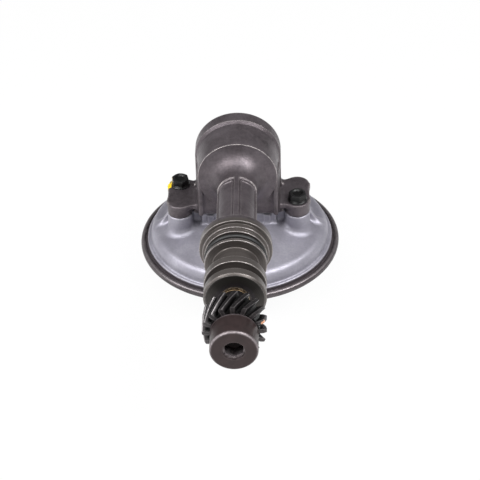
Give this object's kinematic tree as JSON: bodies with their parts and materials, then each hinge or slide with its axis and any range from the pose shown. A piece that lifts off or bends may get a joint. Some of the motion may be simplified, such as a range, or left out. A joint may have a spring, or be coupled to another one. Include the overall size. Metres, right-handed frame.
{
  "type": "vacuum pump",
  "caption": "Diaphragm vacuum pump: round two-part can, dark crank housing with a long panelled neck and sealing lands, and a helical drive gear with a hexagon socket collar.",
  "frame": {"origin": "centre of the flat outer face of the round can, on which the pump rests", "axes": "+Z from that face along the axis of the round can, towards the shaft; the shaft lies along Y with its gear end towards -Y; +X to the right when seen from the gear end"},
  "size_m": [0.1276, 0.2691, 0.1086],
  "materials": {
    "housing_casting": "dark warm grey as cast, oil-stained, bright turned edges",
    "dark_casting": "dark grey, rolled rim",
    "light_casting": "bluish light grey, die cast",
    "gasket_fibre": "flat grey fibre sheet",
    "black_steel": "black phosphate",
    "plain_steel": "ground steel",
    "spring_steel": "drawn wire and pressed strip",
    "dark_steel": "hardened dark steel, bright on worn tooth edges",
    "brown_steel": "brown-grey steel with turning rings",
    "bronze": "bearing bronze",
    "rubber": "black moulded rubber"
  },
  "bodies": {
    "pump_body": {"pump_housing": "housing_casting", "diaphragm_cover": "light_casting", "outer_cover": "dark_casting", "housing_gasket": "gasket_fibre", "flange_bolt_left": "black_steel", "flange_bolt_right": "black_steel", "mounting_o_ring": "rubber", "front_bush": "bronze", "rear_bush": "bronze", "rear_cap": "plain_steel", "inlet_nozzle": "plain_steel", "inlet_valve_spring": "spring_steel", "inlet_valve_cage": "plain_steel", "outlet_valve_seat": "bronze", "outlet_valve_spring": "spring_steel", "diaphragm": "rubber", "thrust_washer": "bronze"},
    "shaft": {"drive_shaft": "plain_steel", "eccentric": "plain_steel", "retaining_ring": "spring_steel", "drive_gear": "dark_steel", "gear_pin": "plain_steel", "drive_collar": "brown_steel"},
    "rod": {"connecting_rod": "light_casting", "rod_bearing": "plain_steel", "upper_plate": "plain_steel", "lower_plate": "plain_steel", "clamp_nut": "plain_steel"},
    "inlet_valve": {"inlet_valve_disc": "rubber"},
    "outlet_valve": {"outlet_valve_disc": "rubber"}
  },
  "joints": [
    {"name": "shaft_spin", "type": "hinge", "parent": "pump_body", "child": "shaft", "pos_m": [0, 0, 0.0816], "axis": [0, 1, 0], "continuous": true},
    {"name": "rod_on_eccentric", "type": "hinge", "parent": "shaft", "child": "rod", "pos_m": [0, 0, 0.0781], "axis": [0, 1, 0], "continuous": true, "deforming": ["diaphragm"]},
    {"name": "inlet_valve_lift", "type": "slide", "parent": "pump_body", "child": "inlet_valve", "axis": [0, 0, 1], "range_m": [0, 0.0012], "stiffness_N_per_m": 60, "springref_m": -0.001, "deforming": ["inlet_valve_spring"]},
    {"name": "outlet_valve_lift", "type": "slide", "parent": "pump_body", "child": "outlet_valve", "axis": [0, 0, -1], "range_m": [0, 0.0012], "stiffness_N_per_m": 60, "springref_m": -0.001, "deforming": ["outlet_valve_spring"]}
  ],
  "couplings": [
    {"joint": "rod_on_eccentric", "follows": "shaft_spin", "ratio": -1}
  ]
}
